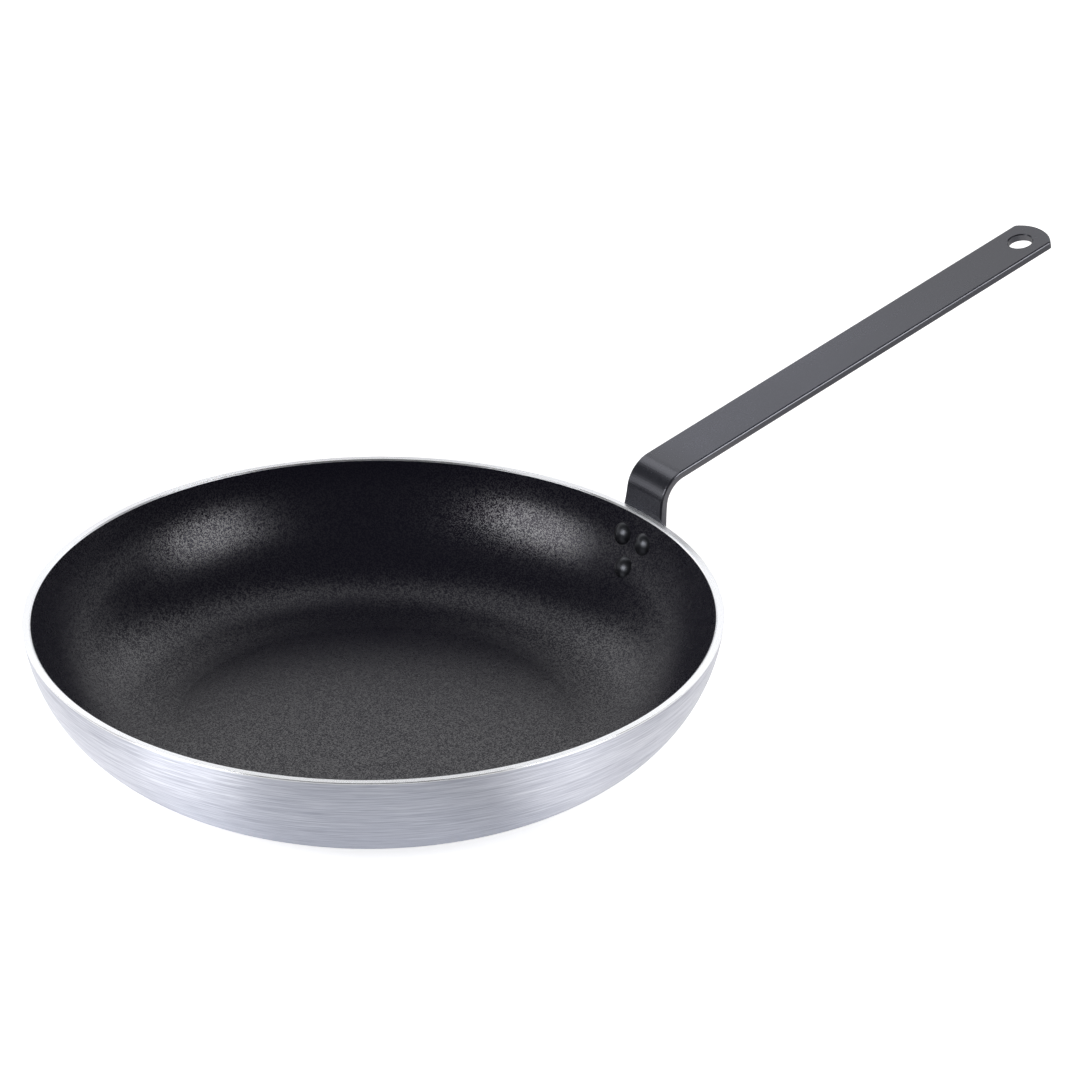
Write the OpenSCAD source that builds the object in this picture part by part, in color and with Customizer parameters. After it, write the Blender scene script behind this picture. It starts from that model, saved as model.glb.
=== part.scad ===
// Omelette pan: a pressed aluminium bowl with a black non-stick lining and a
// flat strip handle that three rivets hold. The origin is the centre of the
// base, where it stands on the table. +Z is up and the handle runs along +X.

/* [Bowl] */
// Outside diameter over the rim
rim_d = 320; // [240:1:400]
// Height from the table to the top of the rim
bowl_h = 61; // [40:0.5:90]
// Lean of the wall from upright at the rim, in degrees
rim_lean = 5.8; // [2:0.1:20]
// Thickness of the aluminium sheet
sheet_t = 3.7; // [2:0.1:6]
// Bevel on the rim's inner edge
inner_bevel = 0.6; // [0.2:0.1:1]
// Bevel on the rim's outer edge
outer_bevel = 0.4; // [0.2:0.1:1]

/* [Lining] */
// Thickness of the non-stick lining
lining_t = 0.2; // [0.1:0.05:0.5]

/* [Handle] */
// Width of the strip
strip_w = 26; // [21:0.5:32]
// Thickness of the strip
strip_t = 4; // [2.5:0.1:6]
// Rounding of the strip's long edges
edge_r = 1; // [0.4:0.1:1.2]
// Width that the strip spreads to at its riveted foot
foot_w = 30; // [28:0.5:40]
// Length of the foot below the lower rivet's axis
foot_margin = 10; // [7:0.5:20]
// Radius of the foot's lower corners
foot_corner_r = 8; // [2:0.5:13]
// Length of the straight neck above the rim
neck_l = 8.8; // [5:0.1:20]
// Radius inside the bend
bend_r = 11.6; // [5:0.1:25]
// Rise of the grip above level, in degrees
grip_rise = 12.5; // [0:0.1:30]
// Length of the straight grip along its top face
grip_l = 244.5; // [150:0.5:320]
// Radius of the grip's rounded end
tip_r = 18; // [16:0.5:40]
// Radius of the corners between that end and the grip's sides
tip_corner_r = 4; // [1:0.5:10]
// Diameter of the hanging hole
hole_d = 12; // [6:0.5:16]
// Distance from the grip's end to the centre of the hanging hole
hole_inset = 13.7; // [11:0.1:30]
// Bevel round the grip's end and on both edges of the hanging hole
edge_bevel = 0.5; // [0.2:0.1:1]
// Depth that the foot's face is dressed back to seat it on the wall
seat_depth = 0.15; // [0.1:0.01:0.3]

/* [Rivets] */
// Diameter of a rivet's shank
rivet_d = 5; // [4:0.1:7]
// Radial clearance of the shank in its holes
rivet_fit = 0.05; // [0.02:0.01:0.2]
// Diameter of a rivet's head, inside the bowl
head_d = 11; // [8:0.1:13.5]
// Height of a rivet's head
head_h = 2.4; // [1:0.1:4]
// Diameter of a rivet's formed end, on the handle
tail_d = 10; // [8:0.1:13]
// Height of a rivet's formed end
tail_h = 1.8; // [1:0.1:4]
// Distance between the upper two rivets
rivet_pitch = 15; // [13.5:0.1:18]
// Distance down the wall from the rim to the upper two rivets
rivet_drop = 13.7; // [10:0.1:20]
// Distance down the wall from the upper two rivets to the lower one
row_gap = 15; // [12:0.1:18]

/* [Hidden] */
$fn = 180;

// How far a solid that cuts, or that is cut back, runs past the cut
spare = 1;

// Angle at which the small arcs at the grip's end meet their neighbours
corner_kink = 12;

rim_r = rim_d / 2;

// The wall's outside is one arc. It leaves the flat base level and reaches the
// rim at its lean, so its radius and the size of the base follow.
wall_r = bowl_h / (1 - sin(rim_lean));
base_r = rim_r - wall_r * cos(rim_lean);
wall_centre = [base_r, wall_r];

stack_t = sheet_t + lining_t;
clamp_t = strip_t - seat_depth;
foot_l = rivet_drop + row_gap + foot_margin + spare;

// The strip's path is its inner face, which becomes the top of the grip. It
// follows the wall to the rim, and goes on as the neck, the bend and the grip.
outer_bend_r = bend_r + strip_t;
bend_turn = 90 - rim_lean - grip_rise;
bend_l = outer_bend_r * bend_turn * PI / 180;
neck_start = [rim_r, bowl_h] - seat_depth * outward(rim_lean);
neck_end = neck_start + neck_l * upward(rim_lean);
bend_centre = neck_end + outer_bend_r * outward(rim_lean);
bend_end = bend_centre - outer_bend_r * outward(90 - grip_rise);

// Counts of the strip's stations along its path, and of points in its section
foot_steps = 14;
neck_steps = 4;
bend_steps = 18;
face_steps = 6;
corner_steps = 4;

// Directions in the X-Z plane beside a face that leans from upright
function outward(lean) = [cos(lean), -sin(lean)];
function upward(lean) = [sin(lean), cos(lean)];

// Lean of the wall, and the point on its outside, at a distance down from the rim
function wall_lean(s) = rim_lean + s / wall_r * 180 / PI;
function wall_point(s) = wall_centre + wall_r * outward(wall_lean(s));

// Half section of all that lies inside a surface at a depth under the bowl's
// outside, up to a height
module inside_section(depth, top) {
    translate([0, depth]) square([base_r, top - depth]);
    intersection() {
        translate(wall_centre) circle(r = wall_r - depth);
        translate([base_r, depth]) square([2 * wall_r, top - depth]);
    }
}

module inside_solid(depth) {
    rotate_extrude() inside_section(depth, bowl_h);
}

// Half section of a layer of the bowl that starts at a depth under its outside
module layer_section(depth, t, top) {
    difference() {
        inside_section(depth, top);
        inside_section(depth + t, top + spare);
    }
}

// Everything within the bowl's outside, and within its rim straight up
module bowl_envelope() {
    inside_solid(0);
    translate([0, 0, bowl_h - spare]) cylinder(r = rim_r, h = neck_l);
}

// Turns a child round the bowl, so that what lay above the X axis is at y there
module round_bowl(s, y) {
    rotate([0, 0, asin(y / wall_point(s)[0])]) children();
}

// Places a child above the X axis, with its Z axis along the wall's normal
module on_wall(s) {
    p = wall_point(s);
    translate([p[0], 0, p[1]])
        rotate([0, 90 + wall_lean(s), 0])
            children();
}

// Where the rivets are: the distance down from the rim, and the y
upper_left = [rivet_drop, rivet_pitch / 2];
upper_right = [rivet_drop, -rivet_pitch / 2];
lower_middle = [rivet_drop + row_gap, 0];

module rivet_holes() {
    for (place = [upper_left, upper_right, lower_middle])
        round_bowl(place[0], place[1])
            on_wall(place[0])
                translate([0, 0, -2 * stack_t])
                    cylinder(r = rivet_d / 2 + rivet_fit, h = 2 * stack_t + 2 * strip_t);
}

module bowl() {
    color("silver")
        difference() {
            rotate_extrude()
                difference() {
                    layer_section(0, sheet_t, bowl_h);
                    rim_bevels();
                }
            rivet_holes();
        }
}

// What the bevels take from the two corners of the rim's section
module rim_bevels() {
    inner_r = rim_r - sheet_t / cos(rim_lean);
    polygon([
        [rim_r - outer_bevel, bowl_h],
        [rim_r + spare, bowl_h + spare],
        [rim_r + spare, bowl_h - outer_bevel - spare],
        [rim_r, bowl_h - outer_bevel],
    ]);
    polygon([
        [inner_r + inner_bevel, bowl_h],
        [inner_r - spare, bowl_h + spare],
        [inner_r - spare, bowl_h - inner_bevel - spare],
        [inner_r, bowl_h - inner_bevel],
    ]);
}

module nonstick_lining() {
    color([0.13, 0.13, 0.14])
        difference() {
            rotate_extrude() layer_section(sheet_t, lining_t, bowl_h - inner_bevel);
            rivet_holes();
        }
}

// Rises smoothly from 0 to 1 as x does
function ease(x) = let (u = min(max(x, 0), 1)) u * u * (3 - 2 * u);

// Width of the strip at a distance along its path above the rim. It narrows
// from the upper rivets to the end of the neck.
function width_at(q) = strip_w + (foot_w - strip_w)
    * (1 - ease((q + rivet_drop) / (rivet_drop + neck_l)));

// Hollow of the strip's section there. It fits the round wall, and the strip is
// flat across by the end of the bend.
function hollow_at(q, x, lean) = (1 - ease(q / (neck_l + bend_l))) * cos(lean) / (2 * x);

// A station is the path's point, the lean, and the distance above the rim
stations = concat(
    [for (i = [0 : foot_steps - 1])
        let (s = foot_l * (1 - i / foot_steps))
            [wall_point(s) - seat_depth * outward(wall_lean(s)), wall_lean(s), -s]],
    [for (i = [0 : neck_steps])
        let (q = neck_l * i / neck_steps)
            [neck_start + q * upward(rim_lean), rim_lean, q]],
    [for (i = [1 : bend_steps])
        let (share = i / bend_steps, lean = rim_lean + bend_turn * share)
            [bend_centre - outer_bend_r * outward(lean), lean, neck_l + bend_l * share]],
    [[bend_end + grip_l * upward(90 - grip_rise), 90 - grip_rise, neck_l + bend_l + grip_l]]
);

// Points of a quarter round in the section, about a centre [depth, y]
function quarter(centre, from_angle) = [for (k = [0 : corner_steps])
    let (a = from_angle - 90 * k / corner_steps)
        centre + edge_r * [cos(a), sin(a)]];

// Points across a face of the section, without its two ends
function across(depth, from_y) = [for (k = [1 : face_steps - 1])
    [depth, from_y * (1 - 2 * k / face_steps)]];

// Section of the strip of width w, as [depth under the inner face, y]
function strip_section(w) = let (y = w / 2 - edge_r, low = strip_t - edge_r) concat(
    quarter([edge_r, y], 180),
    quarter([low, y], 90),
    across(strip_t, y),
    quarter([low, -y], 0),
    quarter([edge_r, -y], -90),
    across(0, -y)
);

function station_ring(st) = let (
    hollow = hollow_at(st[2], st[0][0], st[1]),
    out = outward(st[1])
) [for (p = strip_section(width_at(st[2])))
    let (depth = p[0] - hollow * p[1] * p[1])
        [st[0][0] + depth * out[0], p[1], st[0][1] + depth * out[1]]];

// Skins rings of points, all of one count, into a closed solid
module loft(rings) {
    n = len(rings[0]);
    last = (len(rings) - 1) * n;
    sides = [for (i = [0 : len(rings) - 2], j = [0 : n - 1])
        let (a = i * n + j, b = i * n + (j + 1) % n)
            each [[a, a + n, b + n], [a, b + n, b]]];
    first_mid = last + n;
    last_mid = first_mid + 1;
    caps = [for (j = [0 : n - 1])
        let (k = (j + 1) % n)
            each [[first_mid, j, k], [last_mid, last + k, last + j]]];
    points = concat([for (ring = rings) each ring], [middle(rings[0]), middle(rings[len(rings) - 1])]);
    polyhedron(points, concat(sides, caps), convexity = 6);
}

function middle(ring) = [for (axis = [0 : 2]) mean([for (p = ring) p[axis]])];
function mean(v) = v * [for (x = v) 1] / len(v);

// Round solid through the strip's thickness, with a bevel at both faces. It
// widens there as a cutter for a hole, and narrows as the shape of an end.
module bevelled_round(r, widens) {
    end_r = r + (widens ? 1 : -1) * (edge_bevel + spare);
    rotate_extrude()
        polygon([
            [0, spare],
            [end_r, spare],
            [r, -edge_bevel],
            [r, edge_bevel - strip_t],
            [end_r, -strip_t - spare],
            [0, -strip_t - spare],
        ]);
}

// Wedge between two angles, as far as the strip goes, outside a round end
module outside_round(r, from, to) {
    reach = 2 * strip_w;
    difference() {
        translate([0, 0, -strip_t - spare / 2])
            linear_extrude(height = strip_t + spare)
                polygon(concat([[0, 0]], [for (a = [from, (from + to) / 2, to]) reach * [cos(a), sin(a)]]));
        bevelled_round(r, widens = false);
    }
}

// What is cut from the square end of the grip: outside the end's arc, and
// outside the two smaller arcs that join it to the sides. A small arc meets its
// neighbours at a slight angle, so that clear edges lie between them.
module grip_end_cut() {
    corner_y = strip_w / 2 - tip_corner_r * cos(corner_kink);
    corner_reach = sqrt(tip_r * tip_r + tip_corner_r * tip_corner_r
        - 2 * tip_r * tip_corner_r * cos(corner_kink));
    corner_from = asin(corner_y / corner_reach);
    outside_round(tip_r, -90, 90);
    for (flip = [0, 1])
        mirror([0, flip, 0])
            translate([corner_y / tan(corner_from), corner_y, 0])
                outside_round(tip_corner_r, corner_from, 90);
}

// What is cut from the square end of the foot, with the rim towards +X
module foot_end_plan() {
    corner_y = foot_w / 2 - foot_corner_r;
    difference() {
        translate([-2 * foot_margin, -foot_w]) square([foot_corner_r + foot_margin, 2 * foot_w]);
        translate([-foot_margin, -corner_y]) square([foot_corner_r + spare, 2 * corner_y]);
        for (y = [-corner_y, corner_y])
            translate([foot_corner_r - foot_margin, y]) circle(r = foot_corner_r);
    }
}

// Places a child on the grip's top face at a distance along it, with +X to the end
module on_grip(along) {
    translate([bend_end[0], 0, bend_end[1]])
        rotate([0, -grip_rise, 0])
            translate([along, 0, 0])
                children();
}

module handle() {
    color([0.25, 0.26, 0.28])
        difference() {
            loft([for (st = stations) station_ring(st)]);
            bowl_envelope();
            rivet_holes();
            on_wall(lower_middle[0])
                translate([0, 0, -strip_t])
                    linear_extrude(height = 3 * strip_t) mirror([1, 0]) foot_end_plan();
            on_grip(grip_l - tip_r) grip_end_cut();
            on_grip(grip_l - hole_inset) bevelled_round(hole_d / 2, widens = true);
        }
}

// Low dome whose edge lies on z = 0, with enough below it to be cut back
module dome(d, h) {
    ball_r = (d * d / 4 + h * h) / (2 * h);
    intersection() {
        translate([0, 0, h - ball_r]) sphere(r = ball_r);
        translate([0, 0, -spare]) cylinder(r = d / 2, h = h + spare);
    }
}

// A rivet's head and formed end take the form of the layers that they clamp
module rivet(place) {
    color([0.16, 0.16, 0.17])
        round_bowl(place[0], place[1]) {
            intersection() {
                on_wall(place[0])
                    translate([0, 0, -stack_t]) mirror([0, 0, 1]) dome(head_d, head_h);
                inside_solid(stack_t);
            }
            difference() {
                on_wall(place[0]) translate([0, 0, clamp_t]) dome(tail_d, tail_h);
                inside_solid(-clamp_t);
            }
            on_wall(place[0])
                translate([0, 0, -stack_t - head_h / 2])
                    cylinder(r = rivet_d / 2, h = stack_t + clamp_t + (head_h + tail_h) / 2);
        }
}

module rivet_left() { rivet(upper_left); }
module rivet_right() { rivet(upper_right); }
module rivet_lower() { rivet(lower_middle); }

bowl();
nonstick_lining();
handle();
rivet_left();
rivet_right();
rivet_lower();
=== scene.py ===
# %% [markdown]
# An omelette pan: a pressed aluminium bowl, brushed round its outside, with a
# black non-stick lining and a flat steel strip for a handle, held by three
# rivets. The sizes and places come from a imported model, which is loaded first
# and stays fixed. This file gives every surface its finish, adds a camera and a
# small studio, and prints what it measures on the way. Lengths are in metres.

import math

import bmesh
import bpy
from mathutils import Matrix, Vector


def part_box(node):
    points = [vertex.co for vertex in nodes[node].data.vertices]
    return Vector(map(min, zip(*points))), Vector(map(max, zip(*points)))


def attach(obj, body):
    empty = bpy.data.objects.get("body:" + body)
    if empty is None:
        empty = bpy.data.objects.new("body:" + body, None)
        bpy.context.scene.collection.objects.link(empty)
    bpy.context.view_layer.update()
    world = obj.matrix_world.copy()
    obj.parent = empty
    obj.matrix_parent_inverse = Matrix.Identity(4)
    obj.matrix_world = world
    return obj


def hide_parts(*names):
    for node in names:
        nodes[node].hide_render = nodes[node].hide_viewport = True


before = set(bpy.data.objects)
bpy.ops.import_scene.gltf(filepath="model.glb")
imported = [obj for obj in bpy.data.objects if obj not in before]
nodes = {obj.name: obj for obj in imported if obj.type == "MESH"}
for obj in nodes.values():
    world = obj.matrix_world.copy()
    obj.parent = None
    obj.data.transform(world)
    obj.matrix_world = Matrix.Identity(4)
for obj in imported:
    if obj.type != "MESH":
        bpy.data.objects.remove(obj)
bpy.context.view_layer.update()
print("nodes:", ", ".join(sorted(nodes)))

# %% [markdown]
# The pieces need two sizes: how high the rim is and how wide the bowl is. Both
# can be read from the box of the fixed bowl, so nothing is typed in twice.

# %% Read the sizes that the pieces need
bowl_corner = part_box("bowl")[1]
rim_z = bowl_corner.z
rim_r = bowl_corner.x
handle_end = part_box("handle")[1]
print(f"rim {2000 * rim_r:.1f} mm across and {1000 * rim_z:.1f} mm high")
print(f"handle reaches x = {1000 * handle_end.x:.1f} mm, z = {1000 * handle_end.z:.1f} mm")

# %% [markdown]
# A material in Blender is a graph of nodes. Writing such a graph call by call
# hides the idea behind it, so two small classes let it be written as a formula.
# `Value` wraps the output of a node that is a number, and its operators add
# Math nodes. `Graph` owns one tree and adds any other node by its type. The
# same two serve for shapes, because Geometry Nodes are a graph too, and `Finish`
# adds the helpers that only a material or the world needs.

# %% Write shader maths as formulas
class Value:
    """One output of a node. The operators are for outputs that are numbers."""

    def __init__(self, graph, socket):
        self.graph = graph
        self.socket = socket

    def __add__(self, other):
        return self.graph.math("ADD", self, other)

    def __sub__(self, other):
        return self.graph.math("SUBTRACT", self, other)

    def __rsub__(self, other):
        return self.graph.math("SUBTRACT", other, self)

    def __mul__(self, other):
        return self.graph.math("MULTIPLY", self, other)

    __radd__ = __add__
    __rmul__ = __mul__


class Graph:
    """A node tree, and the way to add nodes to it."""

    def __init__(self, tree):
        self.tree = tree
        self.tree.nodes.clear()

    def node(self, kind, settings=None, sockets=None, output=0):
        node = self.tree.nodes.new(kind)
        for name, setting in (settings or {}).items():
            if name == "stops":
                self.set_stops(node.color_ramp, setting)
            else:
                setattr(node, name, setting)
        for name, content in (sockets or {}).items():
            for item in content if isinstance(content, list) else [content]:
                if isinstance(item, Value):
                    self.tree.links.new(item.socket, node.inputs[name])
                else:
                    node.inputs[name].default_value = item
        return Value(self, node.outputs[output]) if node.outputs else None

    def set_stops(self, ramp, stops):
        while len(ramp.elements) < len(stops):
            ramp.elements.new(1.0)
        for element, (place, colour) in zip(ramp.elements, stops):
            element.position = place
            element.color = (*colour, 1.0)

    def math(self, operation, *terms):
        settings = {"operation": operation}
        return self.node("ShaderNodeMath", settings, dict(enumerate(terms)))

    def vector(self, operation, *terms, output=0):
        """Vector Math. A length or a dot product comes from output 1."""
        settings = {"operation": operation}
        return self.node("ShaderNodeVectorMath", settings, dict(enumerate(terms)), output)

    def split(self, vector):
        """The x, y and z of a vector."""
        return [self.node("ShaderNodeSeparateXYZ", None, {0: vector}, k) for k in range(3)]

    def join(self, x, y, z):
        return self.node("ShaderNodeCombineXYZ", None, {0: x, 1: y, 2: z})


class Finish(Graph):
    """The graph of a material or of the world."""

    def __init__(self, owner):
        owner.use_nodes = True
        super().__init__(owner.node_tree)

    def smooth_step(self, value, low, high):
        """Rises from 0 to 1 as the value goes from low to high."""
        return self.node(
            "ShaderNodeMapRange",
            {"interpolation_type": "SMOOTHSTEP"},
            {"Value": value, "From Min": low, "From Max": high},
        )

    def noise(self, vector, scale, detail, roughness=0.5):
        """Fractal noise with its middle at 0.5."""
        return self.node(
            "ShaderNodeTexNoise",
            {"noise_dimensions": "3D"},
            {"Vector": vector, "Scale": scale, "Detail": detail, "Roughness": roughness},
        )

    def ramp(self, value, dark, light):
        """Dark at the low end of a noise, light at its high end."""
        stops = [(0.38, dark), (0.62, light)]
        return self.node("ShaderNodeValToRGB", {"stops": stops}, {0: value})

    def mix_colours(self, factor, first, second):
        sockets = {0: factor, 6: first, 7: second}
        return self.node("ShaderNodeMix", {"data_type": "RGBA"}, sockets, output=2)

    def coordinates(self):
        """The place on the object, in metres."""
        return self.node("ShaderNodeTexCoord", output=3)

    def ray(self, kind):
        """1 where a ray of this kind looks at the surface, and 0 elsewhere."""
        return self.node("ShaderNodeLightPath", output=kind)

    def cover(self, sockets):
        """Ends a material in a Principled shader with these sockets."""
        shader = self.node("ShaderNodeBsdfPrincipled", None, sockets)
        self.node("ShaderNodeOutputMaterial", None, {0: shader})

    def attribute(self, name):
        """A number that the piece's mesh carries at every vertex."""
        return self.node("ShaderNodeAttribute", {"attribute_name": name}, output=2)

    def bump(self, height, distance, strength):
        sockets = {"Height": height, "Distance": distance, "Strength": strength}
        return self.node("ShaderNodeBump", None, sockets)


def new_material(name):
    material = bpy.data.materials.new(name)
    return material, Finish(material)


def put_material(name, material):
    mesh = nodes[name].data
    mesh.materials.clear()
    mesh.materials.append(material)
    print(name, "is finished in", material.name)


# %% [markdown]
# Two things on the pan follow a rule: the bowl is one section turned round an
# axis, and the three rivets are one rivet set three times. Geometry Nodes fit
# such things, because the rule stays readable and its sizes are named inputs.
# `Shaping` is the graph of a shape. `make_piece` runs it on a small mesh, and
# keeps the result as a plain mesh at the origin.

# %% Write shapes as graphs
class Shaping(Graph):
    """The graph of a shape. Each of its inputs has a name and a kind of socket."""

    def __init__(self, name, inputs):
        tree = bpy.data.node_groups.new(name, "GeometryNodeTree")
        super().__init__(tree)
        kinds = {"Geometry": "NodeSocketGeometry", **inputs}
        for label, kind in kinds.items():
            tree.interface.new_socket(label, in_out="INPUT", socket_type=kind)
        tree.interface.new_socket("Shape", in_out="OUTPUT", socket_type=kinds["Geometry"])
        source = tree.nodes.new("NodeGroupInput")
        self.inputs = [Value(self, source.outputs[label]) for label in kinds]

    def round_place(self, radius, angle, height):
        """A point at a radius and an angle round the z axis."""
        return self.join(
            radius * self.math("COSINE", angle), radius * self.math("SINE", angle), height
        )

    def carry(self, geometry, name, value):
        """Stores a number at every point, under a name."""
        return self.node(
            "GeometryNodeStoreNamedAttribute",
            {"data_type": "FLOAT", "domain": "POINT"},
            {"Geometry": geometry, "Name": name, "Value": value},
        )

    def carried(self, name, kind):
        """Reads what is stored under a name."""
        return self.node("GeometryNodeInputNamedAttribute", {"data_type": kind}, {"Name": name})

    def end(self, geometry, material):
        real = self.node("GeometryNodeRealizeInstances", None, {0: geometry})
        sockets = {"Geometry": real, "Material": material}
        finished = self.node("GeometryNodeSetMaterial", None, sockets)
        self.node("NodeGroupOutput", None, {0: finished})


def make_piece(name, mesh, shaping, sizes):
    """Runs a shape's graph on a mesh and keeps what it makes."""
    source = bpy.data.objects.new(name + "_source", mesh)
    bpy.context.scene.collection.objects.link(source)
    modifier = source.modifiers.new("shape", "NODES")
    modifier.node_group = shaping.tree
    for item in shaping.tree.interface.items_tree:
        if item.name in sizes:
            modifier[item.identifier] = sizes[item.name]
    graph = bpy.context.evaluated_depsgraph_get()
    result = bpy.data.meshes.new_from_object(
        source.evaluated_get(graph), preserve_all_data_layers=True, depsgraph=graph
    )
    bpy.data.objects.remove(source)
    finish = result.materials[-1]  # the first slot is an empty one
    result.materials.clear()
    result.materials.append(finish)
    piece = bpy.data.objects.new(name, result)
    bpy.context.scene.collection.objects.link(piece)
    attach(piece, "root")
    check = bmesh.new()
    check.from_mesh(result)
    print(
        f"{name}: {len(check.faces)} faces, volume {1e6 * check.calc_volume(signed=True):.2f} ml,",
        sum(not edge.is_manifold for edge in check.edges), "open edges,",
        "finished in", finish.name,
    )
    check.free()
    return piece


# %% [markdown]
# The camera looks down at 27 degrees from the side opposite the handle. The
# photograph was taken from far away with a long lens, so the near and far side
# of the rim have almost the same scale. The three offsets move the camera from
# a point straight in front of the rim's centre.

# %% Place the camera
AZIMUTH = math.radians(-38.9)
ELEVATION = math.radians(27.075)
LENS_MM = 200
CAMERA_OFFSET = Vector((0.075855, 0.032538, 2.73566))  # right, up and back

right = Vector((math.cos(AZIMUTH), math.sin(AZIMUTH), 0))
back = Vector((
    math.sin(AZIMUTH) * math.cos(ELEVATION),
    -math.cos(AZIMUTH) * math.cos(ELEVATION),
    math.sin(ELEVATION),
))
up = back.cross(right)
rim_centre = Vector((0, 0, rim_z))

camera = bpy.data.objects.new("camera", bpy.data.cameras.new("camera"))
camera.data.sensor_width = 36
camera.data.lens = LENS_MM
camera.location = (
    rim_centre
    + CAMERA_OFFSET.x * right
    + CAMERA_OFFSET.y * up
    + CAMERA_OFFSET.z * back
)
camera.rotation_euler = back.to_track_quat("Z", "Y").to_euler()
camera.data.clip_end = 100
bpy.context.scene.collection.objects.link(camera)
bpy.context.scene.camera = camera
bpy.context.scene.view_settings.view_transform = "Standard"
print("camera at", [round(x, 3) for x in camera.location])

# %% [markdown]
# The bowl is one sheet, turned round the upright axis, so its section says all
# about its shape. The wall is an arc that leaves the flat base without a kink
# and reaches the rim at a lean of 5.8 degrees. Its radius follows from these
# two conditions. The rim is flat, with a rounded outer edge and a bevelled
# inner one. A few extra points close to each edge keep the shading of the
# narrow faces even.

# %% Draw the bowl's section
SHEET = 0.0037  # thickness
RIM_LEAN = math.radians(5.8)
OUTER_EDGE = 0.0004  # radius of the rim's outer edge
INNER_EDGE = 0.0006  # width of the bevel on its inner edge
RIM_HOLD = 0.0001  # how close the extra points lie to the flat rim's edges
BEVEL_HOLD = 0.00006  # and to the bevel's edges
FLOOR_RADII = (0, 0.01, 0.03, 0.06, 0.09)
WALL_STEPS = 56  # outside
LINED_STEPS = 48  # inside
EDGE_STEPS = 6  # round the outer edge

wall_r = rim_z / (1 - math.sin(RIM_LEAN))
wall_x = rim_r - wall_r * math.cos(RIM_LEAN)


def wall_point(lean, depth=0.0):
    """A point of the wall's section, where the wall leans out by an angle."""
    reach = wall_r - depth
    return Vector((wall_x + reach * math.cos(lean), 0, wall_r - reach * math.sin(lean)))


def lean_at(z, depth):
    """How far the wall leans at a height, at a depth under the outside."""
    return math.asin((wall_r - z) / (wall_r - depth))


def between(first, last, steps):
    return [first + (last - first) * k / steps for k in range(steps + 1)]


def draw_section():
    outside = [Vector((r, 0, 0)) for r in FLOOR_RADII]
    top = lean_at(rim_z - OUTER_EDGE, 0)
    outside += [wall_point(lean) for lean in between(math.pi / 2, top, WALL_STEPS)]
    edge_centre = outside[-1] - Vector((OUTER_EDGE, 0, 0))
    for angle in between(0, math.pi / 2, EDGE_STEPS)[1:]:
        step = Vector((math.cos(angle), 0, math.sin(angle)))
        outside.append(edge_centre + OUTER_EDGE * step)
    corner = wall_point(lean_at(rim_z, SHEET), SHEET)
    rim = [
        outside[-1] - Vector((RIM_HOLD, 0, 0)),
        corner + Vector((INNER_EDGE + RIM_HOLD, 0, 0)),
        corner + Vector((INNER_EDGE, 0, 0)),
        corner + Vector((INNER_EDGE - BEVEL_HOLD, 0, -BEVEL_HOLD)),
        corner + Vector((BEVEL_HOLD, 0, BEVEL_HOLD - INNER_EDGE)),
    ]
    low = lean_at(rim_z - INNER_EDGE, SHEET)
    inside = [wall_point(lean, SHEET) for lean in between(low, math.pi / 2, LINED_STEPS)]
    inside += [Vector((r, 0, SHEET)) for r in reversed(FLOOR_RADII)]
    return outside + rim + inside


section = bpy.data.meshes.new("section")
points = draw_section()
section.from_pydata(points, [(k, k + 1) for k in range(len(points) - 1)], [])
lengths = section.attributes.new("along", "FLOAT", "POINT")
travelled = 0.0
for k, point in enumerate(points):
    travelled += (point - points[max(k - 1, 0)]).length
    lengths.data[k].value = travelled
print(f"wall radius {1000 * wall_r:.2f} mm, {len(points)} points, {travelled:.4f} m along")

# %% [markdown]
# The graph lays out a flat grid with one column for each point of the section,
# and rolls it up: a column takes its point's radius and height, and a row its
# share of the full turn. The last row meets the first, and both ends meet on
# the axis, so merging them closes the seam and the poles. Each vertex also
# keeps how far it lies along the section, which the brushing is drawn with.

# %% Turn the section round the axis
SEGMENTS = 240  # round the bowl
MERGE = 1e-6  # points closer than this become one


def turning():
    shaping = Shaping("turning", {"Segments": "NodeSocketInt", "Finish": "NodeSocketMaterial"})
    section, segments, material = shaping.inputs
    count = shaping.node("GeometryNodeAttributeDomainSize", None, {0: section})
    grid = shaping.node(
        "GeometryNodeMeshGrid", None, {"Vertices X": count, "Vertices Y": segments + 1}
    )
    across, along_turn, _ = shaping.split(shaping.node("GeometryNodeInputPosition"))
    column = shaping.math("ROUND", (across + 0.5) * (count - 1))
    angle = (0.5 - along_turn) * math.tau  # this way round, the faces point outwards

    def sample(kind, value):
        sockets = {"Geometry": section, "Value": value, "Index": column}
        return shaping.node("GeometryNodeSampleIndex", {"data_type": kind}, sockets)

    point = sample("FLOAT_VECTOR", shaping.node("GeometryNodeInputPosition"))
    radius, _, height = shaping.split(point)
    place = shaping.round_place(radius, angle, height)
    along = sample("FLOAT", shaping.carried("along", "FLOAT"))
    marked = shaping.carry(grid, "along", along)
    rolled = shaping.node("GeometryNodeSetPosition", None, {"Geometry": marked, "Position": place})
    closed = shaping.node(
        "GeometryNodeMergeByDistance", None, {"Geometry": rolled, "Distance": MERGE}
    )
    smooth = shaping.node("GeometryNodeSetShadeSmooth", None, {"Geometry": closed})
    shaping.end(smooth, material)
    return shaping


# %% [markdown]
# The bowl's outside is brushed while it turns, so fine scratches run round it.
# A brushed metal reflects sharply along the scratches and widely across them,
# which the shader calls anisotropy. The colour and the roughness also get long,
# thin streaks: noise that changes slowly round the bowl and fast along its
# section. Angle would leave a seam where it jumps, so the direction round the
# bowl enters as its sine and cosine.

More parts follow.
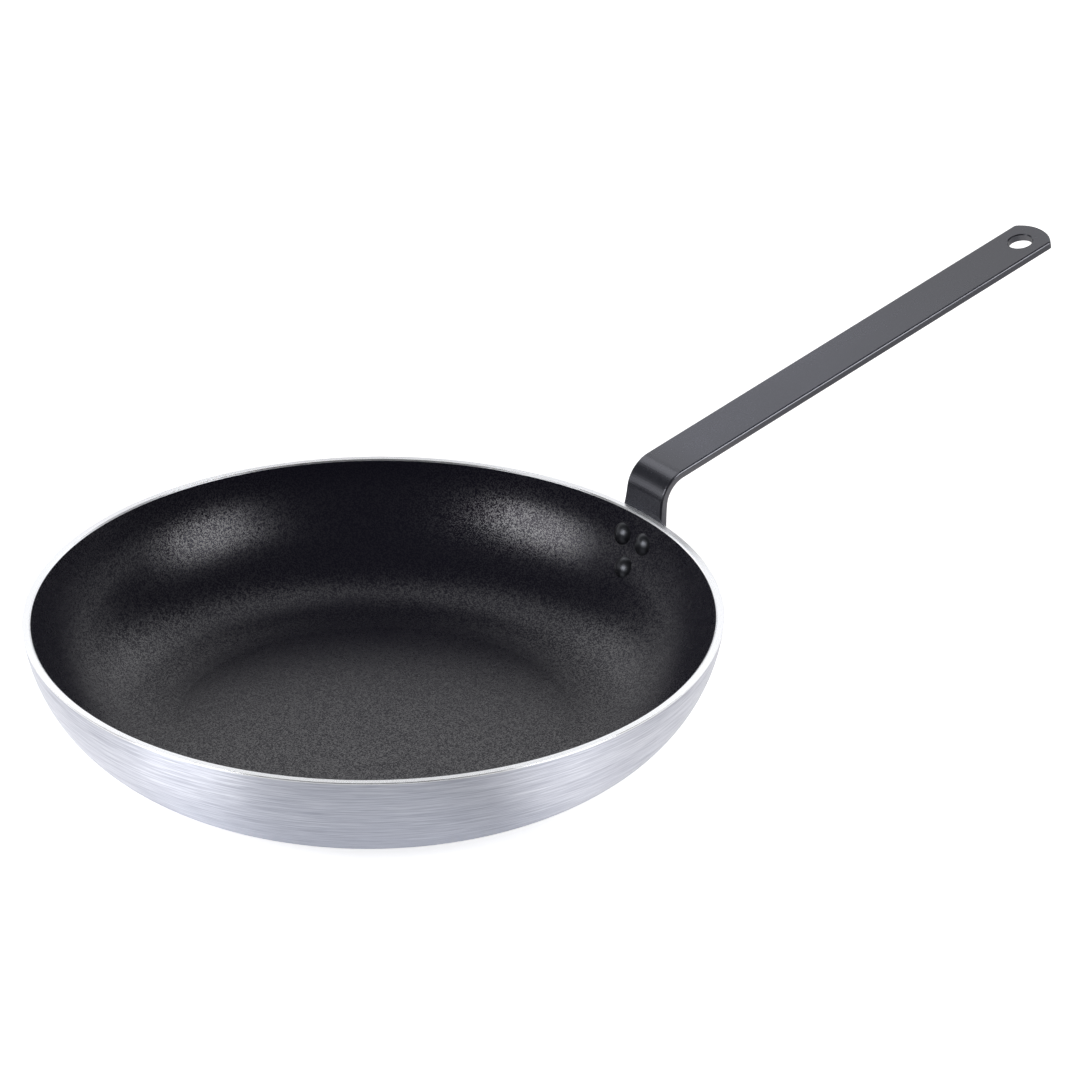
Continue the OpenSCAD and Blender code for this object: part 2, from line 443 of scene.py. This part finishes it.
# %% Finish the bowl in brushed aluminium
STREAKS_ROUND = 3.6  # how often a streak changes per radian
STREAKS_ACROSS = 1250.0  # and per metre of the section
FINER = 2.5  # how much finer the second set of streaks is
AXIS_GAP = 0.001  # keeps the radius away from 0 on the axis
TURNED_EDGE = (0.0010, 0.0003)  # below the rim, where its bright edge starts and is full
DULL_METAL, BRIGHT_METAL = (0.43, 0.45, 0.535), (0.74, 0.76, 0.835)
TURNED_METAL = (0.96, 0.97, 1.0, 1)


def brushed_aluminium():
    material, finish = new_material("brushed_aluminium")
    x, y, z = finish.split(finish.coordinates())
    radius = finish.math("MAXIMUM", finish.math("SQRT", x * x + y * y), AXIS_GAP)
    across = finish.attribute("along") * STREAKS_ACROSS
    round_x, round_y = [finish.math("DIVIDE", part, radius) * STREAKS_ROUND for part in (x, y)]
    bands = finish.noise(finish.join(round_x, round_y, across), 1.0, 3.0, 0.6)
    finer = finish.join(round_x * FINER, round_y * FINER, across * FINER)
    streaks = bands * 0.45 + finish.noise(finer, 1.0, 2.0, 0.6) * 0.55
    turned = finish.smooth_step(z, *[rim_z - below for below in TURNED_EDGE])
    tone = finish.ramp(streaks, DULL_METAL, BRIGHT_METAL)
    finish.cover({
        "Base Color": finish.mix_colours(turned, tone, TURNED_METAL),
        "Metallic": 1.0,
        "Roughness": 0.40 + (streaks - 0.5) * 0.2 - turned * 0.12,
        "Anisotropic": 0.93,
        "Anisotropic Rotation": 0.25,
        "Normal": finish.bump(streaks, 0.00005, 0.25),
    })
    return material


bowl = make_piece(
    "spun_bowl", section, turning(),
    {"Segments": SEGMENTS, "Finish": brushed_aluminium()},
)
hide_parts("bowl")

# %% [markdown]
# The lining is a sprayed coat. It is black, it has a soft sheen, and fine
# grains in it catch the light one by one. A Voronoi texture cuts the surface
# into small cells, each with a random colour. Read as a direction, that colour
# tilts the normal of the whole cell a little, as a flake in the coat does. Its
# green part also says how rough the cell is and how much clear coat lies on it,
# so that neighbouring cells differ most where a lamp is mirrored.

# %% Finish the lining
GRAINS_PER_M = 2100.0
GRAIN_TILT = 0.14
COATED_SHADES = (0.3, 0.9)  # cells under the first are bare, over the second coated


def grain_colour(finish):
    """A random colour for each cell of a Voronoi texture."""
    sockets = {"Vector": finish.coordinates(), "Scale": GRAINS_PER_M}
    return finish.node("ShaderNodeTexVoronoi", {"feature": "F1"}, sockets, 1)


def grain_normal(finish, cell):
    """The surface's normal, with every grain tilted its own way."""
    lean = finish.vector("SUBTRACT", cell, (0.5, 0.5, 0.5))
    normal = finish.node("ShaderNodeNewGeometry", output=1)
    tilted = finish.vector("MULTIPLY_ADD", lean, (GRAIN_TILT,) * 3, normal)
    return finish.vector("NORMALIZE", tilted)


def black_nonstick():
    material, finish = new_material("black_nonstick")
    cell = grain_colour(finish)
    shade = finish.split(cell)[1]
    finish.cover({
        "Base Color": (0.0090, 0.0085, 0.0145, 1),
        "Roughness": 0.20 + shade * 0.14,
        "IOR": 1.27,
        "Specular Tint": (0.90, 0.88, 1.0, 1),
        "Coat Weight": finish.smooth_step(shade, *COATED_SHADES),
        "Coat Roughness": 0.27,
        "Coat IOR": 1.52,
        "Normal": grain_normal(finish, cell),
    })
    return material


put_material("nonstick_lining", black_nonstick())

# %% [markdown]
# The handle is mild steel strip with a thin blue-black coat. It is smoother
# than the lining, with faint cloudy marks, some of them drawn out along the
# strip. Its colour also carries painted shade on the narrow side faces and round
# the bend, painted light on the grip past the bend, and painted shade that grows
# slowly from there to the end with the hole.

# %% Finish the handle
SLOW_CLOUDS, LONG_CLOUDS, FINE_CLOUDS = 13.0, 45.0, 1100.0  # per metre
DRAWN_OUT = (0.3, 1.0, 1.0)  # long clouds change less along x
SIDE_SHADE_SPAN = (0.0122, 0.0129)  # where the painted shade on the side faces begins and is full, from the middle of the strip, along y
PAST_BEND = (0.170, 0.195)  # along x
TOWARD_END = (0.190, 0.410)  # along x
NECK_SHADING, GRIP_SHADING, END_SHADING = 0.6, 1.9, 0.3  # how much painted light or shade the colour gets there
DARK_COAT, PALE_COAT = (0.012, 0.013, 0.019), (0.034, 0.036, 0.049)
# The colour of the painted shade on the narrow side faces.
SIDE_SHADE_COLOUR = (0.006, 0.006, 0.009, 1)


def coated_steel():
    material, finish = new_material("coated_steel")
    place = finish.coordinates()
    x, y, _ = finish.split(place)
    long_place = finish.vector("MULTIPLY", place, DRAWN_OUT)
    clouds = (
        finish.noise(long_place, LONG_CLOUDS, 2.0) * 0.3
        + finish.noise(place, FINE_CLOUDS, 2.0) * 0.4
        + finish.noise(place, SLOW_CLOUDS, 1.0) * 0.3
    )
    past_bend = finish.smooth_step(x, *PAST_BEND)
    toward_end = finish.smooth_step(x, *TOWARD_END)
    # Painted light and shade: the colour's factor is low round the bend, high past it, and low
    # again toward the end.
    painted_shading = (
        NECK_SHADING + past_bend * (GRIP_SHADING - NECK_SHADING) - toward_end * (GRIP_SHADING - END_SHADING)
    )
    tone = finish.ramp(clouds, DARK_COAT, PALE_COAT)
    tone = finish.vector("MULTIPLY", tone, finish.join(painted_shading, painted_shading, painted_shading))
    # Painted shade: the narrow side faces are darkened in the colour.
    side_shade = finish.smooth_step(finish.math("ABSOLUTE", y), *SIDE_SHADE_SPAN)
    finish.cover({
        "Base Color": finish.mix_colours(side_shade, tone, SIDE_SHADE_COLOUR),
        "Roughness": 0.25 + (clouds - 0.5) * 0.25,
        "IOR": 1.97,
        "Specular Tint": (0.88, 0.89, 1.0, 1),
    })
    return material


put_material("handle", coated_steel())

# %% [markdown]
# The rivets have a low domed head inside the bowl and a smaller, bare end that
# was formed against the handle. Both are the same kind of shape, so one helper
# makes them from a ball: its upper half becomes the dome, and its lower half a
# short skirt, which sinks into the curved wall, and a flat underside.

# %% Shape a rivet's head or end
BALL_SEGMENTS, BALL_RINGS = 48, 32
RING = 2 / BALL_RINGS  # from one ring to the next, where the ball's edge is at 1
SKIRT = 0.0003  # how deep the underside lies


def button(shaping, diameter, height):
    """A closed low dome whose edge lies at z = 0."""
    sockets = {"Segments": BALL_SEGMENTS, "Rings": BALL_RINGS, "Radius": 1.0}
    ball = shaping.node("GeometryNodeMeshUVSphere", None, sockets)
    x, y, z = shaping.split(shaping.node("GeometryNodeInputPosition"))
    reach = diameter * 0.5
    ball_r = shaping.math("DIVIDE", reach * reach + height * height, height * 2)
    edge = shaping.math("ARCSINE", shaping.math("DIVIDE", reach, ball_r))
    down = shaping.math("ARCCOSINE", z) * (2 / math.pi)  # 0 on top, 1 at the edge, 2 below
    slope = shaping.math("MINIMUM", down, 1.0) * edge
    below = shaping.math("GREATER_THAN", down, 1 + RING / 2)
    inward = shaping.math("MAXIMUM", (down - (1 + RING)) * (1 / (1 - RING)), 0.0)
    radius = ball_r * shaping.math("SINE", slope) * (1 - inward)
    rise = height - ball_r * (1 - shaping.math("COSINE", slope)) - below * SKIRT
    place = shaping.round_place(radius, shaping.math("ARCTAN2", y, x), rise)
    return shaping.node("GeometryNodeSetPosition", None, {"Geometry": ball, "Position": place})


# %% Build one rivet and set it
SHANK_SIDES = 32
STACK = 0.0039  # sheet and lining, under the head
STRIP = 0.00385  # handle, under the formed end
RIVET_SIZES = {
    "Head Diameter": 0.011,
    "Head Height": 0.0024,
    "End Diameter": 0.010,
    "End Height": 0.0018,
    "Shank Diameter": 0.005,
    "Grip": STACK + STRIP,
}


def riveting():
    kinds = {label: "NodeSocketFloat" for label in RIVET_SIZES}
    shaping = Shaping("riveting", {**kinds, "Finish": "NodeSocketMaterial"})
    places, head_d, head_h, end_d, end_h, shank_d, grip, material = shaping.inputs
    head = button(shaping, head_d, head_h)
    end = shaping.node("GeometryNodeTransform", None, {
        "Geometry": shaping.carry(button(shaping, end_d, end_h), "bare", 1.0),
        "Translation": shaping.join(0.0, 0.0, 0 - grip),
        "Rotation": (math.pi, 0, 0),
    })
    shank = shaping.node("GeometryNodeMeshCylinder", None, {
        "Vertices": SHANK_SIDES, "Radius": shank_d * 0.5, "Depth": grip,
    })
    shank = shaping.node("GeometryNodeTransform", None, {
        "Geometry": shank, "Translation": shaping.join(0.0, 0.0, grip * -0.5),
    })
    rivet = shaping.node("GeometryNodeJoinGeometry", None, {0: [head, end, shank]})
    rivet = shaping.node("GeometryNodeSetShadeSmooth", None, {"Geometry": rivet})
    axis = shaping.carried("axis", "FLOAT_VECTOR")
    turn = shaping.node("FunctionNodeAlignRotationToVector", {"axis": "Z"}, {"Vector": axis})
    set_rivets = shaping.node("GeometryNodeInstanceOnPoints", None, {
        "Points": places, "Instance": rivet, "Rotation": turn,
    })
    shaping.end(set_rivets, material)
    return shaping


# %% [markdown]
# The heads are black, as the lining is, and the formed ends are bare metal. Both
# share one material, which tells them apart by the number that the shape's graph
# stored on the end's points.

# %% Finish the rivets
BLACK_HEAD, BARE_END = (0.004, 0.0043, 0.0058, 1), (0.60, 0.61, 0.63, 1)
MARKS_PER_M = 900.0


def coated_rivet():
    material, finish = new_material("coated_rivet")
    bare = finish.attribute("bare")
    marks = finish.noise(finish.coordinates(), MARKS_PER_M, 3.0)
    finish.cover({
        "Base Color": finish.mix_colours(bare, BLACK_HEAD, BARE_END),
        "Metallic": bare,
        "Roughness": 0.33 + (marks - 0.5) * 0.14,
        "IOR": 1.65,
        "Specular Tint": (0.86, 0.89, 1.0, 1),
        "Normal": finish.bump(marks, 0.00004, 0.3),
    })
    return material


# %% [markdown]
# Each rivet stands square on the wall. Its place is given by the distance down
# the wall from the rim and the distance beside the handle's middle, measured on
# the bowl's outside. The head sits on the lining, 3.9 mm further in.

# %% Set the rivets
RIVET_PLACES = {
    "rivet_left": (0.0137, 0.0075),
    "rivet_right": (0.0137, -0.0075),
    "rivet_lower": (0.0287, 0.0),
}

rivet_shape = riveting()
rivet_inputs = {**RIVET_SIZES, "Finish": coated_rivet()}
for node, (drop, aside) in RIVET_PLACES.items():
    lean = RIM_LEAN + drop / wall_r
    turn = Matrix.Rotation(math.asin(aside / wall_point(lean).x), 3, "Z")
    seat = bpy.data.meshes.new(node + "_seat")
    seat.from_pydata([turn @ wall_point(lean, STACK)], [], [])
    axis = turn @ Vector((-math.cos(lean), 0, math.sin(lean)))
    seat.attributes.new("axis", "FLOAT_VECTOR", "POINT").data[0].vector = axis
    piece = make_piece("set_" + node, seat, rivet_shape, rivet_inputs)
    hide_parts(node)

# %% [markdown]
# The studio is a white table, a soft lamp on each side, two faint tall panels
# behind the pan and a small one above it, and a pale backdrop. The rest is dim,
# which is what keeps the black lining black. The lamps are placed by their
# direction as seen from the pan: the azimuth is counted from the camera, to the
# right.

# %% Set up the lamps
toward_camera = Vector((back.x, back.y, 0)).normalized()


def lamp_direction(azimuth, elevation):
    a, e = math.radians(azimuth), math.radians(elevation)
    level = math.cos(a) * toward_camera + math.sin(a) * right
    return math.cos(e) * level + math.sin(e) * Vector((0, 0, 1))


def add_lamp(name, azimuth, elevation, distance, size, watts):
    data = bpy.data.lights.new(name, "AREA")
    data.shape = "RECTANGLE"
    data.size, data.size_y = size
    data.energy = watts
    lamp = bpy.data.objects.new(name, data)
    direction = lamp_direction(azimuth, elevation)
    lamp.location = rim_centre + distance * direction
    lamp.rotation_euler = direction.to_track_quat("Z", "Y").to_euler()
    lamp.visible_camera = False
    bpy.context.scene.collection.objects.link(lamp)
    print(f"{name}: {watts} W at {azimuth} degrees round and {elevation} up")


add_lamp("lamp_left", -60, 23, 2.5, (1.4, 1.1), 36)
add_lamp("lamp_right", 65, 26, 2.5, (1.25, 1.15), 25.5)
add_lamp("panel_back_left", -143, 50, 2.5, (0.95, 1.9), 5.4)
add_lamp("panel_back_right", 143, 50, 2.5, (0.95, 1.9), 5.4)
add_lamp("panel_above", 180, 74, 2.2, (1.0, 0.4), 1.2)

# %% [markdown]
# The room is drawn by the direction in which a ray leaves the scene. Behind the
# pan stands a pale backdrop up to about 45 degrees, and a bright band lies along
# the horizon on three sides. The rest of the room is almost dark. The camera
# itself sees plain white everywhere.

# %% Light the room around the table
DIM = 0.06  # the dark part of the room
BRIGHT = 0.95  # what the backdrop and the band add to it
# Each part of the room comes in at the sides, as a direction points more behind
# the pan, and goes out at the top, as it points more upward.
BACKDROP_SIDES, BACKDROP_TOP = (0.3, 0.75), (0.68, 0.76)
BAND_SIDES, BAND_TOP = (-0.3, 0.1), (0.18, 0.34)
CAMERA_RAY, GLOSSY_RAY = 0, 3  # outputs of the Light Path node

world = bpy.data.worlds.new("studio")
bpy.context.scene.world = world
room = Finish(world)
direction = room.node("ShaderNodeTexCoord")
behind = room.vector("DOT_PRODUCT", direction, -toward_camera, output=1)
height = room.split(direction)[2]


def part_of_room(sides, top):
    """1 in one part of the room and 0 outside it."""
    return room.smooth_step(behind, *sides) * (1 - room.smooth_step(height, *top))


backdrop = part_of_room(BACKDROP_SIDES, BACKDROP_TOP)
band = part_of_room(BAND_SIDES, BAND_TOP)
brightness = DIM + room.math("MAXIMUM", backdrop, band) * BRIGHT
by_camera = room.ray(CAMERA_RAY)
white = by_camera + (1 - by_camera) * brightness
room.node("ShaderNodeOutputWorld", None, {0: room.node(
    "ShaderNodeBackground", None, {"Color": (1, 1, 1, 1), "Strength": white}
)})

# %% [markdown]
# The table is white paper. To the camera it glows a little, so that it stays
# white and still takes the pan's shadow. What shiny metal sees of it matters as
# much as the lamps do: the photographer's paper was bright on both sides of the
# pan, and dim under it, in front of it, far away, and in a narrow gap to the
# right, where the metal shows a dark band. The glow for glossy rays has these
# parts, which depend on the place on the table.

# %% Lay the table
# Each pair says where a part of the paper begins and where it is full: beside
# the pan, as the camera sees it, or away from the pan's axis.
LEFT, RIGHT, GAP = (0.08, 0.14), (0.08, 0.115), (0.046, 0.07)
UNDER_PAN, FAR, HORIZON = (0.085, 0.175), (0.28, 0.42), (0.5, 1.5)
FRONT_GLOW = 0.36  # glow in front of the pan
GAP_LOSS = 0.22  # how much of it is missing in the gap
FAR_LOSS = 0.85  # which share of the glow is missing far away
NEAR_WHITE = 0.72  # what the camera gets near the pan, where the lamps add the rest
SIDES = (0.55, 0.52, 0.475)  # what the sides add, in red, green and blue
TABLE_SIZE = 8


def white_table():
    material, finish = new_material("white_table")
    place = finish.coordinates()
    distance = finish.vector("LENGTH", place, output=1)
    aside = finish.vector("DOT_PRODUCT", place, right, output=1)
    sides = finish.smooth_step(0 - aside, *LEFT) + finish.smooth_step(aside, *RIGHT)
    middle = FRONT_GLOW - finish.smooth_step(aside, *GAP) * GAP_LOSS
    nearby = 1 - finish.smooth_step(distance, *FAR) * FAR_LOSS
    # For glossy rays the table glows with painted light, and the dimmer glow under the pan is a
    # painted shadow.
    for_gloss = finish.ray(GLOSSY_RAY) * finish.smooth_step(distance, *UNDER_PAN) * nearby
    ground = NEAR_WHITE + finish.smooth_step(distance, *HORIZON) * (1 - NEAR_WHITE)
    for_camera = finish.ray(CAMERA_RAY) * ground
    glow = [for_camera + for_gloss * (middle + sides * share) for share in SIDES]
    finish.cover({
        "Base Color": (0.8, 0.8, 0.8, 1),
        "Roughness": 0.9,
        "Specular IOR Level": 0.0,
        "Emission Color": finish.join(*glow),
        "Emission Strength": 1.0,
    })
    return material


bpy.ops.mesh.primitive_plane_add(size=TABLE_SIZE)
table = bpy.context.object
table.name = "table"
table.data.materials.append(white_table())
